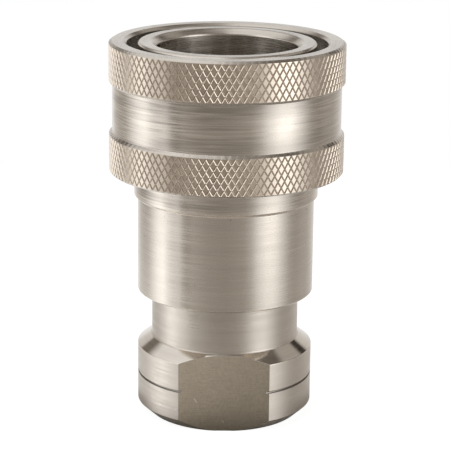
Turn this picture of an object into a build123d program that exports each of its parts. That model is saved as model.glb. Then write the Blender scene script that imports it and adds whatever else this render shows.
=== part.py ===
from build123d import *
from math import atan, cos, radians, sin, sqrt, tan
import os

# Female half of a 3/4 inch hydraulic quick coupler, uncoupled and closed.
# A turned body carries a ball lock and a poppet valve, a sprung sleeve slides back to free the balls,
# and an adapter with a pipe port and two wrench flats is screwed in behind.
# Frame: +Z runs out of the nose, and the origin is the centre of the adapter's rear face.
# All sizes are in millimetres, and radial sizes are radii.

os.makedirs("parts", exist_ok=True)

# Fits
slide_fit = 0.05            # radial room between a sliding piece and its guide
joint_fit = 0.05            # radial room of the adapter in the body
seat_gap = 0.04             # room between a ball or the valve's cone and its seat
groove_room = 0.05          # room round a ring in its groove
seal_sides = 8              # flats on a seal ring's section, which its groove presses out of round
seal_tilt = 180 / seal_sides

# Adapter, outside
wrench_r = 20.3             # round part of the wrench end
wrench_len = 16.05
wrench_flats = 34.93        # across the two flats
rear_chamfer = 2.7          # radial size of the chamfer at the rear face
rear_chamfer_len = 2.45
mark_z = 9.4                # thin groove round the wrench end
mark_width = 0.45
mark_depth = 0.35
cone_len = 2.4              # cone from the wrench end down to the neck
neck_r = 17.0
neck_len = 10.7
neck_foot_fillet = 0.5
joint_len = 14.5            # how far the adapter enters the body
entry_chamfer = 0.6
joint_seal_inset = 2.5      # from the body's rear face to the seal groove
joint_seal_width = 2.5
joint_seal_depth = 2.0

# Adapter, inside
port_r = 12.2               # minor radius of the 3/4 inch pipe thread
port_len = 20.0
port_mouth = 1.4            # chamfer at the port's mouth
passage_r = 10.5
pocket_r = 14.0             # pocket that holds the valve guide

# Bore of the body, from the nose inwards
nose_chamfer = 1.25         # lead-in from the nose's face to the guide bore
guide_bore_r = 15.95
guide_bore_len = 6.65
bore_r = 15.75              # bore that seals and locks the nipple
socket_len = 27.8           # nose face to the floor of the socket
seal_setback = 15.9         # nose face to the front wall of the seal groove
seal_len = 4.9
seal_depth = 2.75
seal_stand = 0.2            # how far the seal stands into the bore
web_len = 4.0               # thickness of the web that holds the valve seat
seat_open_r = 10.2
seat_depth = 2.2            # axial length of the 45 degree seat
chamber_r = 14.6
chamber_len = 11.7

# Ball lock
ball_r = 3.0
ball_count = 8
ball_reach = 1.45           # how far a locked ball stands into the bore
ball_setback = 11.2         # nose face to the ball centres
pocket_taper = 20.0         # half angle of the conical end that keeps a ball from falling inwards

# Outside of the body
nose_edge = 0.4
tube_edge = 0.3
collar_height = 0.83        # how far the collar stands out of the tube
collar_len = 5.7
collar_taper_len = 0.67

# Sleeve
spring_room = 2.85          # radial room for the spring between tube and sleeve
nose_gap = 2.5              # radial gap between the nose and the sleeve's front rim
sleeve_wall = 3.7
sleeve_travel = 7.0
land_len = 9.0              # inner land that holds the balls in
front_skirt = 5.0           # sleeve in front of its shoulder
rear_knurl_len = 8.7
front_knurl_len = 8.5
middle_band_len = 11.15
band_step = 0.75            # how far the middle band lies below the knurled ones
band_step_len = 0.65
rim_chamfer = 0.45
rim_chamfer_len = 0.3
sleeve_edge = 0.4
sleeve_inner_edge = 0.3

# Sleeve spring, its washer and the stop ring
sleeve_wire = 1.8
sleeve_turns = 4
spring_spare = 0.5          # room left when a spring is pressed as far as it goes
wire_sides = 6
washer_len = 1.0
washer_bore_room = 0.1
washer_rim_room = 0.2
ring_setback = 4.8          # nose face to the shoulder that the sleeve rests on
ring_len = 1.2
ring_depth = 1.1            # depth of its groove in the nose
ring_rim_room = 0.3         # room to the sleeve's front rim
ring_split = 4.0            # gap in the ring

# Poppet valve
valve_travel = 7.0
valve_rim = 0.5             # head beyond the seat's cone
valve_rim_len = 1.0
valve_back_len = 1.4
valve_nose_r = 9.4
valve_nose_stand = 2.0      # nose above the floor of the socket
valve_nose_taper = 1.8
valve_nose_flat_r = 6.6
valve_seal_inset = 0.55     # radial room between the seat's opening and the seal in the cone
valve_seal_width = 1.2      # radial width of the seal's face in the cone
valve_seal_depth = 0.9
stem_r = 3.0
stem_inset = 1.0            # stem's end inside the guide's hub
valve_wire = 1.4
valve_turns = 5
valve_spring_r = 7.0        # mean radius of the spring
pilot_room = 0.2            # room of the spring on the head's pilot
pilot_len = 1.5

# Valve guide and its ring
guide_len = 2.5
guide_rim_room = 0.1
guide_rim_width = 2.4
guide_arm_count = 3
guide_arm_width = 3.0
hub_wall = 1.95
hub_front = 2.0             # hub above the spring's seat
hub_rear = 3.5
spring_seat_lip = 0.5       # spring seat beyond the spring
guide_ring_len = 1.0
guide_ring_depth = 0.65
guide_ring_width = 2.0
guide_ring_split = 5.0

# Places along the axis
neck_z = wrench_len + cone_len
body_z = neck_z + neck_len
adapter_top = body_z + joint_len
web_z = adapter_top + chamber_len
floor_z = web_z + web_len
nose_z = floor_z + socket_len
ball_z = nose_z - ball_setback
seal_z = nose_z - seal_setback - seal_len
shoulder_z = nose_z - ring_setback
land_z = shoulder_z - land_len
sleeve_top = shoulder_z + front_skirt
spring_len = sleeve_travel + sleeve_turns * sleeve_wire + spring_spare
washer_z = land_z - spring_len - washer_len

# Radii that follow from the ball lock outwards
tube_r = bore_r + 2 * ball_r - ball_reach
ball_rest_r = tube_r - ball_r
land_r = tube_r + slide_fit
sleeve_bore_r = tube_r + spring_room
front_bore_r = tube_r + nose_gap
sleeve_r = sleeve_bore_r + sleeve_wall
joint_bore_r = neck_r + joint_fit

# The sleeve's ramp lets every ball out by its reach over the sleeve's travel
ramp_slope = ball_reach / sleeve_travel
ramp_z = ball_z - ball_r * sin(atan(ramp_slope))
ramp_end_r = land_r + (shoulder_z - ramp_z) * ramp_slope

# The valve's cone lies seat_gap below the seat, along the line r + z = valve_line
seat_line = seat_open_r + web_z + seat_depth
valve_line = seat_line - seat_gap * sqrt(2)
valve_head_r = seat_open_r + seat_depth + valve_rim
valve_back_z = valve_line - valve_head_r - valve_rim_len - valve_back_len
valve_seal_inner_r = seat_open_r + valve_seal_inset
valve_spring_len = valve_travel + valve_turns * valve_wire + spring_spare
guide_top = valve_back_z - valve_spring_len
guide_z = guide_top - guide_len
hub_z = guide_z - hub_rear
hub_r = stem_r + slide_fit + hub_wall
spring_seat_r = valve_spring_r + valve_wire / 2 + spring_seat_lip


# Adapter: wrench end, neck and the part that enters the body, turned in one piece
joint_seal_z = body_z + joint_seal_inset
joint_seal_floor = neck_r - joint_seal_depth
guide_ring_z = guide_top + groove_room
guide_ring_floor = pocket_r + guide_ring_depth

with BuildPart() as adapter:
    with BuildSketch(Plane.XZ) as adapter_section:
        with BuildLine():
            Polyline(
                (port_r + port_mouth, 0),
                (wrench_r - rear_chamfer, 0),
                (wrench_r, rear_chamfer_len),
                (wrench_r, mark_z - mark_width / 2),
                (wrench_r - mark_depth, mark_z - mark_width / 2),
                (wrench_r - mark_depth, mark_z + mark_width / 2),
                (wrench_r, mark_z + mark_width / 2),
                (wrench_r, wrench_len),
                (neck_r, neck_z),
                (neck_r, joint_seal_z),
                (joint_seal_floor, joint_seal_z),
                (joint_seal_floor, joint_seal_z + joint_seal_width),
                (neck_r, joint_seal_z + joint_seal_width),
                (neck_r, adapter_top - entry_chamfer),
                (neck_r - entry_chamfer, adapter_top),
                (pocket_r, adapter_top),
                (pocket_r, guide_ring_z + guide_ring_len + groove_room),
                (guide_ring_floor, guide_ring_z + guide_ring_len + groove_room),
                (guide_ring_floor, guide_top),
                (pocket_r, guide_top),
                (pocket_r, guide_z),
                (passage_r, guide_z),
                (passage_r, port_len),
                (port_r, port_len),
                (port_r, port_mouth),
                close=True,
            )
        make_face()
        fillet(adapter_section.vertices().sort_by_distance((neck_r, neck_z))[0], neck_foot_fillet)
    revolve(axis=Axis.Z)
    with BuildSketch(Plane.XY):
        for side in (1, -1):
            with Locations((0, side * (wrench_flats / 2 + wrench_r))):
                Rectangle(4 * wrench_r, 2 * wrench_r)
    extrude(amount=neck_z, mode=Mode.SUBTRACT)

adapter.part.label = "adapter"
export_step(adapter.part, "parts/adapter.step")

# Seal between the adapter and the body
joint_seal_r = (joint_bore_r - joint_seal_floor - groove_room) / 2

with BuildPart() as adapter_seal:
    with BuildSketch(Plane.XZ):
        with Locations((joint_seal_floor + groove_room / 2 + joint_seal_r, joint_seal_z + joint_seal_width / 2)):
            RegularPolygon(joint_seal_r, seal_sides, major_radius=False, rotation=seal_tilt)
    revolve(axis=Axis.Z)

adapter_seal.part.label = "adapter_seal"
export_step(adapter_seal.part, "parts/adapter_seal.step")


# Body: nose, tube and spring collar, turned in one piece, with a tapered pocket for each ball
collar_z = washer_z - collar_len
seal_floor_r = bore_r + seal_depth
ring_floor_r = tube_r - ring_depth
guide_bore_z = nose_z - nose_chamfer - guide_bore_len
pocket_ball_r = ball_r + slide_fit
taper_slope = tan(radians(pocket_taper))
taper_r = (ball_r + seat_gap) / cos(radians(pocket_taper))
taper_end_x = ball_rest_r - (taper_r - pocket_ball_r) / taper_slope
bore_cut_x = bore_r - 2 * ball_reach
bore_cut_r = taper_r - (ball_rest_r - bore_cut_x) * taper_slope

with BuildPart() as ball_pocket:
    with BuildSketch(Plane.XZ):
        with BuildLine():
            Polyline(
                (bore_cut_x, ball_z),
                (bore_cut_x, ball_z + bore_cut_r),
                (taper_end_x, ball_z + pocket_ball_r),
                (sleeve_r, ball_z + pocket_ball_r),
                (sleeve_r, ball_z),
                close=True,
            )
        make_face()
    revolve(axis=Axis((0, 0, ball_z), (1, 0, 0)))

with BuildPart() as socket_body:
    with BuildSketch(Plane.XZ):
        with BuildLine():
            Polyline(
                (joint_bore_r + entry_chamfer, body_z),
                (tube_r - tube_edge, body_z),
                (tube_r, body_z + tube_edge),
                (tube_r, collar_z - collar_taper_len),
                (tube_r + collar_height, collar_z),
                (tube_r + collar_height, washer_z),
                (tube_r, washer_z),
                (tube_r, shoulder_z),
                (ring_floor_r, shoulder_z),
                (ring_floor_r, shoulder_z + ring_len + groove_room),
                (tube_r, shoulder_z + ring_len + groove_room),
                (tube_r, nose_z - nose_edge),
                (tube_r - nose_edge, nose_z),
                (guide_bore_r + nose_chamfer, nose_z),
                (guide_bore_r, nose_z - nose_chamfer),
                (guide_bore_r, guide_bore_z),
                (bore_r, guide_bore_z),
                (bore_r, seal_z + seal_len),
                (seal_floor_r, seal_z + seal_len),
                (seal_floor_r, seal_z),
                (bore_r, seal_z),
                (bore_r, floor_z),
                (seat_open_r, floor_z),
                (seat_open_r, web_z + seat_depth),
                (seat_open_r + seat_depth, web_z),
                (chamber_r, web_z),
                (chamber_r, adapter_top),
                (joint_bore_r, adapter_top),
                (joint_bore_r, body_z + entry_chamfer),
                close=True,
            )
        make_face()
    revolve(axis=Axis.Z)
    with PolarLocations(0, ball_count):
        add(ball_pocket.part, mode=Mode.SUBTRACT)

socket_body.part.label = "socket_body"
export_step(socket_body.part, "parts/socket_body.step")


# Seal and backup ring in the groove behind the balls
seal_r = (seal_depth + seal_stand - groove_room) / 2
seal_ring_z = seal_z + groove_room + seal_r
backup_z = seal_ring_z + seal_r + groove_room

with BuildPart() as nipple_seal:
    with BuildSketch(Plane.XZ):
        with Locations((seal_floor_r - groove_room - seal_r, seal_ring_z)):
            RegularPolygon(seal_r, seal_sides, major_radius=False, rotation=seal_tilt)
    revolve(axis=Axis.Z)

nipple_seal.part.label = "nipple_seal"
export_step(nipple_seal.part, "parts/nipple_seal.step")

with BuildPart() as backup_ring:
    with BuildSketch(Plane.XY.offset(backup_z)):
        Circle(seal_floor_r - groove_room)
        Circle(bore_r + groove_room, mode=Mode.SUBTRACT)
    extrude(amount=seal_z + seal_len - groove_room - backup_z)

backup_ring.part.label = "backup_ring"
export_step(backup_ring.part, "parts/backup_ring.step")


# Locking balls, held half out of the bore by the sleeve's land
for number in range(ball_count):
    name = f"ball_{number + 1:02d}"
    place = Vector(ball_rest_r, 0, ball_z).rotate(Axis.Z, number * 360 / ball_count)
    with BuildPart() as ball:
        with Locations(place):
            Sphere(ball_r)
    ball.part.label = name
    export_step(ball.part, f"parts/{name}.step")


# Sleeve: two raised bands for the grip, a lower band between them, and the ball land inside
rear_band_z = sleeve_top - rim_chamfer_len - front_knurl_len - 2 * band_step_len - middle_band_len - rear_knurl_len
middle_z = rear_band_z + rear_knurl_len + band_step_len
front_band_z = middle_z + middle_band_len + band_step_len

with BuildPart() as sleeve:
    with BuildSketch(Plane.XZ):
        with BuildLine():
            Polyline(
                (sleeve_bore_r + sleeve_inner_edge, rear_band_z),
                (sleeve_r - sleeve_edge, rear_band_z),
                (sleeve_r, rear_band_z + sleeve_edge),
                (sleeve_r, middle_z - band_step_len),
                (sleeve_r - band_step, middle_z),
                (sleeve_r - band_step, middle_z + middle_band_len),
                (sleeve_r, front_band_z),
                (sleeve_r, sleeve_top - rim_chamfer_len),
                (sleeve_r - rim_chamfer, sleeve_top),
                (front_bore_r + sleeve_inner_edge, sleeve_top),
                (front_bore_r, sleeve_top - sleeve_inner_edge),
                (front_bore_r, shoulder_z),
                (ramp_end_r, shoulder_z),
                (land_r, ramp_z),
                (land_r, land_z),
                (sleeve_bore_r, land_z),
                (sleeve_bore_r, rear_band_z + sleeve_inner_edge),
                close=True,
            )
        make_face()
    revolve(axis=Axis.Z)

sleeve.part.label = "sleeve"
export_step(sleeve.part, "parts/sleeve.step")


# Washer that the sleeve's spring rests on, laid on the collar
with BuildPart() as spring_seat_washer:
    with BuildSketch(Plane.XY.offset(washer_z)):
        Circle(sleeve_bore_r - washer_rim_room)
        Circle(tube_r + washer_bore_room, mode=Mode.SUBTRACT)
    extrude(amount=washer_len)

spring_seat_washer.part.label = "spring_seat_washer"
export_step(spring_seat_washer.part, "parts/spring_seat_washer.step")

# Sleeve spring between the washer and the land. Its coil is a chain of half turns, each one an arc in
# a plane tilted with the coil's rise, its wire has wire_sides flats, and both ends are ground flat.
sleeve_spring_z = washer_z + washer_len
sleeve_spring_r = tube_r + spring_room / 2
sleeve_half_rise = spring_len / sleeve_turns / 2
sleeve_arc_r = sqrt(sleeve_spring_r**2 + (sleeve_half_rise / 2) ** 2)

with BuildPart() as sleeve_spring:
    with BuildLine() as sleeve_coil:
        for half in range(2 * sleeve_turns):
            side = (-1) ** half
            start_z = sleeve_spring_z + half * sleeve_half_rise
            ThreePointArc(
                (side * sleeve_spring_r, 0, start_z),
                (0, side * sleeve_arc_r, start_z + sleeve_half_rise / 2),
                (-side * sleeve_spring_r, 0, start_z + sleeve_half_rise),
            )
    with BuildSketch(Plane(origin=sleeve_coil.line @ 0, z_dir=sleeve_coil.line % 0)):
        RegularPolygon(sleeve_wire / 2, wire_sides)
    sweep()
    with BuildSketch(Plane.XY.offset(sleeve_spring_z)):
        Circle(sleeve_r)
    extrude(amount=spring_len, mode=Mode.INTERSECT)

sleeve_spring.part.label = "sleeve_spring"
export_step(sleeve_spring.part, "parts/sleeve_spring.step")


# Split ring in the nose's groove, which stops the sleeve
with BuildPart() as sleeve_stop_ring:
    with BuildSketch(Plane.XY.offset(shoulder_z)):
        Circle(front_bore_r - ring_rim_room)
        Circle(ring_floor_r + groove_room, mode=Mode.SUBTRACT)
        with Locations((0, sleeve_r / 2)):
            Rectangle(ring_split, sleeve_r, mode=Mode.SUBTRACT)
    extrude(amount=ring_len)

sleeve_stop_ring.part.label = "sleeve_stop_ring"
export_step(sleeve_stop_ring.part, "parts/sleeve_stop_ring.step")


# Valve: a turned head with its stem, and the seal set into the head's cone
seal_low_r = valve_seal_inner_r + valve_seal_width

with BuildSketch(Plane.XZ) as valve_seal_section:
    with BuildLine():
        Polyline(
            (valve_seal_inner_r, valve_line - valve_seal_inner_r),
            (seal_low_r, valve_line - seal_low_r),
            (seal_low_r - valve_seal_depth, valve_line - seal_low_r - valve_seal_depth),
            (valve_seal_inner_r - valve_seal_depth, valve_line - valve_seal_inner_r - valve_seal_depth),
            close=True,
        )
    make_face()

with BuildPart() as poppet_seal:
    add(valve_seal_section.sketch)
    revolve(axis=Axis.Z)

poppet_seal.part.label = "poppet_seal"
export_step(poppet_seal.part, "parts/poppet_seal.step")

pilot_r = valve_spring_r - valve_wire / 2 - pilot_room
valve_tip_z = floor_z + valve_nose_stand

with BuildPart() as poppet:
    with BuildSketch(Plane.XZ):
        with BuildLine():
            Polyline(
                (0, hub_z + stem_inset),
                (stem_r, hub_z + stem_inset),
                (stem_r, valve_back_z - pilot_len),
                (pilot_r, valve_back_z - pilot_len),
                (pilot_r, valve_back_z),
                (spring_seat_r, valve_back_z),
                (valve_head_r, valve_back_z + valve_back_len),
                (valve_head_r, valve_line - valve_head_r),
                (valve_nose_r, valve_line - valve_nose_r),
                (valve_nose_r, valve_tip_z - valve_nose_taper),
                (valve_nose_flat_r, valve_tip_z),
                (0, valve_tip_z),
                close=True,
            )
        make_face()
    revolve(axis=Axis.Z)
    add(poppet_seal.part, mode=Mode.SUBTRACT)

poppet.part.label = "poppet"
export_step(poppet.part, "parts/poppet.step")


# Valve guide: a rim on the adapter's step, three arms, and a hub for the stem and the spring
with BuildPart() as valve_guide:
    with BuildSketch(Plane.XZ):
        with BuildLine():
            Polyline(
                (stem_r + slide_fit, hub_z),
                (hub_r, hub_z),
                (hub_r, guide_z),
                (spring_seat_r, guide_z),
                (spring_seat_r, guide_top),
                (hub_r, guide_top),
                (hub_r, guide_top + hub_front),
                (stem_r + slide_fit, guide_top + hub_front),
                close=True,
            )
        make_face()
    revolve(axis=Axis.Z)
    with BuildSketch(Plane.XY.offset(guide_z)):
        Circle(pocket_r - guide_rim_room)
        Circle(pocket_r - guide_rim_room - guide_rim_width, mode=Mode.SUBTRACT)
    extrude(amount=guide_len)
    arm_len = pocket_r - guide_rim_room - guide_rim_width - hub_r
    with BuildSketch(Plane.XY.offset(guide_z)):
        with PolarLocations(hub_r + arm_len / 2, guide_arm_count):
            Rectangle(arm_len + guide_rim_width, guide_arm_width)
    extrude(amount=guide_len)

valve_guide.part.label = "valve_guide"
export_step(valve_guide.part, "parts/valve_guide.step")

# Split ring that keeps the guide on its step
with BuildPart() as guide_retaining_ring:
    with BuildSketch(Plane.XY.offset(guide_ring_z)):
        Circle(guide_ring_floor - groove_room)
        Circle(guide_ring_floor - groove_room - guide_ring_width, mode=Mode.SUBTRACT)
        with Locations((0, pocket_r / 2)):
            Rectangle(guide_ring_split, 2 * pocket_r, mode=Mode.SUBTRACT)
    extrude(amount=guide_ring_len)

guide_retaining_ring.part.label = "guide_retaining_ring"
export_step(guide_retaining_ring.part, "parts/guide_retaining_ring.step")

# Valve spring between the guide and the head, made like the sleeve's
valve_half_rise = valve_spring_len / valve_turns / 2
valve_arc_r = sqrt(valve_spring_r**2 + (valve_half_rise / 2) ** 2)

with BuildPart() as valve_spring:
    with BuildLine() as valve_coil:
        for half in range(2 * valve_turns):
            side = (-1) ** half
            start_z = guide_top + half * valve_half_rise
            ThreePointArc(
                (side * valve_spring_r, 0, start_z),
                (0, side * valve_arc_r, start_z + valve_half_rise / 2),
                (-side * valve_spring_r, 0, start_z + valve_half_rise),
            )
    with BuildSketch(Plane(origin=valve_coil.line @ 0, z_dir=valve_coil.line % 0)):
        RegularPolygon(valve_wire / 2, wire_sides)
    sweep()
    with BuildSketch(Plane.XY.offset(guide_top)):
        Circle(chamber_r)
    extrude(amount=valve_spring_len, mode=Mode.INTERSECT)

valve_spring.part.label = "valve_spring"
export_step(valve_spring.part, "parts/valve_spring.step")
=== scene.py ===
import math
import random

import bmesh
import bpy
from mathutils import Euler, Matrix, Vector


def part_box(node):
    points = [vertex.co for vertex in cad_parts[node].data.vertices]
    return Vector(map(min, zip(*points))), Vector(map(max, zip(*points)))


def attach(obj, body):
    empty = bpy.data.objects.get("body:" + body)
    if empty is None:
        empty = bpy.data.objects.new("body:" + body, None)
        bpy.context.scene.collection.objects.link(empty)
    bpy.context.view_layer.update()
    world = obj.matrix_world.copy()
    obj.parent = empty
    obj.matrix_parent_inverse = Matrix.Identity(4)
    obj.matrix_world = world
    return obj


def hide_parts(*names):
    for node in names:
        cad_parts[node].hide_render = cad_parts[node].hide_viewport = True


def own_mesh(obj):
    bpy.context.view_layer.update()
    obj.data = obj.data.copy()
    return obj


bl_info = {
    "name": "Quick coupler finish",
    "version": (1, 0, 0),
    "blender": (4, 5, 0),
    "location": "View3D > Sidebar > Coupler",
    "description": "Turned, knurled, threaded and milled surfaces of a hydraulic quick coupler",
    "category": "Object",
}

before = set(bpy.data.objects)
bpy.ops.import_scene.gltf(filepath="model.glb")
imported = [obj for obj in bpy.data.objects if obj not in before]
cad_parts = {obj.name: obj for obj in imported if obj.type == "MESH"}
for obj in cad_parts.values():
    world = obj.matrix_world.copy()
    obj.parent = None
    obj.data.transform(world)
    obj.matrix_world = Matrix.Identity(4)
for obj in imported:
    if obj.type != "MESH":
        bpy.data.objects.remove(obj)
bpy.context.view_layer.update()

MM = 0.001

# Outer faces, read from the frame
SLEEVE_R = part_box("sleeve")[1].x
SLEEVE_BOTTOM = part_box("sleeve")[0].z
SLEEVE_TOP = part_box("sleeve")[1].z
COLLAR_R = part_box("socket_body")[1].x
BODY_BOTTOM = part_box("socket_body")[0].z
NOSE_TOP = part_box("socket_body")[1].z
WRENCH_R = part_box("adapter")[1].x
FLAT_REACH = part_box("adapter")[1].y
ADAPTER_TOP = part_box("adapter")[1].z
WASHER_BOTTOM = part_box("spring_seat_washer")[0].z
STOP_RING_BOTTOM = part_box("sleeve_stop_ring")[0].z
BALLS = sorted(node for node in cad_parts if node.startswith("ball_"))
BALL_LOW, BALL_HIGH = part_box("ball_01")

# Room between a piece and its groove or pocket, and at each end of the adapter's seal
PLAY = 0.05 * MM
SEAL_PLAY = 0.25 * MM

# Sleeve
SLEEVE_EDGE = 0.4 * MM
REAR_KNURL = 8.7 * MM
FRONT_KNURL = 8.45 * MM
BAND_STEP = 0.75 * MM
BAND_STEP_LEN = 0.65 * MM
RIM_CHAMFER = 0.75 * MM
RIM_CHAMFER_LEN = 0.5 * MM
SLEEVE_BORE_R = 23.15 * MM
FRONT_BORE_R = 22.8 * MM
INNER_EDGE = 0.3 * MM
MOUTH_EDGE = 0.65 * MM
LAND_R = 20.35 * MM
LAND_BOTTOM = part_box("sleeve_spring")[1].z
RAMP_BOTTOM = 75.34 * MM
RAMP_R = 21.8 * MM

# Body
TUBE_R = 20.3 * MM
TUBE_EDGE = 0.3 * MM
COLLAR_BOTTOM = 51.95 * MM
COLLAR_TAPER = 0.67 * MM
RING_GROOVE_R = 19.2 * MM
RING_GROOVE_TOP = STOP_RING_BOTTOM + 1.25 * MM
NOSE_EDGE = 0.4 * MM
NOSE_CHAMFER = 1.25 * MM
NOSE_ROUNDING = 1.4 * MM
GUIDE_BORE_R = 15.95 * MM
GUIDE_BORE_BOTTOM = 79.25 * MM
BORE_R = 15.75 * MM
SEAL_GROOVE_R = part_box("nipple_seal")[1].x + PLAY
SEAL_GROOVE_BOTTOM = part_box("nipple_seal")[0].z - PLAY
SEAL_GROOVE_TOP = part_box("backup_ring")[1].z + PLAY
SOCKET_FLOOR = 59.35 * MM
SEAT_R = 10.2 * MM
SEAT_TOP = 57.55 * MM
SEAT_BOTTOM = 55.35 * MM
CHAMBER_R = 14.6 * MM
JOINT_BORE_R = 17.05 * MM
JOINT_CHAMFER = 0.6 * MM

# Pocket of a ball, measured out from the axis
POCKET_R = (BALL_HIGH.z - BALL_LOW.z) / 2 + PLAY
POCKET_NECK_R = 1.46 * MM
POCKET_START = 12.85 * MM
POCKET_TAPER_END = 16.79 * MM

# Adapter
REAR_CHAMFER = 2.7 * MM
REAR_CHAMFER_LEN = 2.45 * MM
MARK_Z = 9.4 * MM
MARK_WIDTH = 0.45 * MM
MARK_DEPTH = 0.35 * MM
WRENCH_TOP = 16.05 * MM
NECK_R = 17.0 * MM
NECK_BOTTOM = 18.45 * MM
NECK_FILLET = 0.5 * MM
JOINT_GROOVE_R = 15.0 * MM
JOINT_GROOVE_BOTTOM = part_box("adapter_seal")[0].z - SEAL_PLAY
JOINT_GROOVE_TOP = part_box("adapter_seal")[1].z + SEAL_PLAY
POCKET_WALL_R = 14.0 * MM
GUIDE_GROOVE_R = 14.65 * MM
GUIDE_GROOVE_BOTTOM = 37.89 * MM
GUIDE_GROOVE_TOP = 38.99 * MM
GUIDE_STEP = 35.39 * MM
PASSAGE_R = 10.5 * MM
PORT_R = 12.2 * MM
PORT_END = 20.0 * MM
PORT_MOUTH = 1.4 * MM
THREAD_PITCH = 1.814 * MM
# The thread runs out over a sixth of its length at the port's end, and over a thirtieth at its mouth
THREAD_RUN_OUT = 6
THREAD_LEAD_IN = 30
# Steepness of the thread's flanks: more than 1 leaves flats at its crests and roots
THREAD_FLANK = 1.25

# Springs, by the radius of their wire and their number of turns
SLEEVE_COIL = (0.9 * MM, 4)
VALVE_COIL = (0.7 * MM, 5)
# Share of a turn that lies flat at each end
CLOSED_TURN = 0.75

# The floor lies this far below the object, so that they don't share a plane
FLOOR_GAP = 0.02 * MM
# Metal mirrors the floor this far out from the object, and the walls beyond twice as far
MIRROR_FLOOR = 4.0 * MM
# The camera's picture plane, in millimetres
SENSOR_WIDTH = 36.0

# How fine the meshes are
STEPS = 240
ARC_STEPS = 4
POCKET_STEPS = 48
FLOOR_STEPS = 96
THREAD_ROWS = 12
WIRE_SIDES = 20
COIL_STEPS = 72

# A corner that turns by less than this stays, and a rounding takes up at most this share of a side
CORNER = math.radians(25)
CORNER_REACH = 0.45
# Faces that meet at more than this are shaded apart
SHARP_ANGLE = math.radians(32)
# Edges of CAD nodes are broken past this angle, after points this near to each other are joined
BROKEN_ANGLE = math.radians(35)
WELD_REACH = 0.001 * MM
# Start of the random draws
SEED = 7

# Depth that a bump of full strength stands for
RELIEF = 0.02 * MM
# Noise stays mostly in the first range, and a sum of two noises in the second
NOISE_RANGE = (0.3, 0.7)
SUM_RANGE = (0.7, 1.3)

# Weight of a way outwards against a way up, in the lathe's rings along the section
RADIAL_SHARE = 1.9
# Waves to the metre, in x and y, of the rings and of the bands that they stand in
RING_WAVES = 90
BAND_WAVES = 25
RINGS_IN_BAND = 8
# Other patterns, by their waves to the metre in x, y and z
TURNED_CLOUD = (120, 120, 120)
PLAIN_CLOUD = (150, 150, 150)
FLAT_CLOUD = (160, 160, 230)
FLAT_GRAIN = (2600, 2600, 1500)
CUTTER_LINES = (300, 60, 4200)
NICKS = (900, 900, 700)
SCRATCHES = (1900, 300, 260)
# Noise from which a nick or a scratch shows, and at which it is full
NICK_RANGE = (0.775, 0.8)
SCRATCH_RANGE = (0.825, 0.85)
# Lean of the scratches on the wrench flats
SCRATCH_SLANT = math.radians(32)
# Painted shade: the flats are painted lighter this way, to the left and up, from this darker tint of
# their colour
FLAT_SHADE_SLOPE = (-28, 0, 22)
SHADE_SLOPE_RANGE = (-0.3, 0.6)
PAINTED_SHADE_TINT = (0.6, 0.6, 0.582, 1.0)

# Gloss of the end faces, and of the cone between the wrench end and the neck
FACED_ROUGHNESS = 0.25
LEDGE_ROUGHNESS = 0.11

# The floor as metal mirrors it, painted dark as a painted shadow under the object, as it takes the
# shadow before the camera, and its glow there
FLOOR_MIRRORED_SHADE = (0.16, 0.15, 0.13, 1.0)
FLOOR_SEEN = (0.25, 0.25, 0.25, 1.0)
FLOOR_GLOW = 0.9
WHITE = (1.0, 1.0, 1.0, 1.0)


def eased(outline, radius, closed=True):
    """The outline with its corners rounded.

    A point is (radius, height, finish of the stretch after it) and, if need be, a rounding of its own.
    """
    rounded = []
    last = len(outline) - 1
    for number, (r, z, finish, *own) in enumerate(outline):
        rounding = own[0] if own else radius
        corner = Vector((r, z))
        before = Vector(outline[number - 1][:2]) - corner
        after = Vector(outline[(number + 1) % len(outline)][:2]) - corner
        turn = math.pi - before.angle(after)
        if turn < CORNER or (not closed and number in (0, last)):
            rounded.append((r, z, finish))
            continue
        room = CORNER_REACH * min(before.length, after.length)
        reach = min(rounding * math.tan(turn / 2), room)
        start = corner + before.normalized() * reach
        end = corner + after.normalized() * reach
        for step in range(ARC_STEPS + 1):
            share = step / ARC_STEPS
            point = start * (1 - share) ** 2 + corner * 2 * share * (1 - share) + end * share**2
            rounded.append((point.x, point.y, finish))
    return rounded


def even_angles(count):
    """Angles of that many points, evenly round a circle."""
    return [2 * math.pi * step / count for step in range(count)]


def clamped(value, low=0, high=1):
    """The value, or the end of the range that it passes."""
    return min(max(value, low), high)


def point(mesh, radius, angle, height):
    """A point by its radius and angle round the axis, and its height."""
    return mesh.verts.new((radius * math.cos(angle), radius * math.sin(angle), height))


def ring(mesh, radius, height, angles):
    """A loop of points round the axis."""
    return [point(mesh, radius, angle, height) for angle in angles]


def join(mesh, loop, onward, finish=0):
    """Faces between two loops of as many points."""
    for here in range(len(loop)):
        there = (here + 1) % len(loop)
        face = mesh.faces.new((loop[here], loop[there], onward[there], onward[here]))
        face.material_index = finish
        face.smooth = True


def join_all(mesh, loops, finish=0):
    """Faces between each loop and the next."""
    for loop, onward in zip(loops, loops[1:]):
        join(mesh, loop, onward, finish)


def turn_section(mesh, outline, angles, first=None, last=None):
    """Turns an open outline about the axis. First and last are end loops that stand already."""
    loops = []
    for number, (r, z, _) in enumerate(outline):
        if number == 0 and first:
            loops.append(first)
        elif number == len(outline) - 1 and last:
            loops.append(last)
        else:
            loops.append(ring(mesh, r, z, angles))
    for (_, _, finish), loop, onward in zip(outline, loops, loops[1:]):
        join(mesh, loop, onward, finish)
    return loops


def turn_closed(mesh, outline, angles):
    """Turns a closed outline about the axis."""
    loops = turn_section(mesh, outline, angles)
    join(mesh, loops[-1], loops[0], outline[-1][2])


def mesh_data(name, mesh):
    """The finished mesh as Blender keeps it."""
    data = bpy.data.meshes.new(name)
    mesh.to_mesh(data)
    mesh.free()
    return data


def groove(wall_r, floor_r, start, end, finish):
    """The outline's points of a groove in a wall."""
    corners = ((wall_r, start), (floor_r, start), (floor_r, end), (wall_r, end))
    return [(r, z, finish) for r, z in corners]


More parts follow.
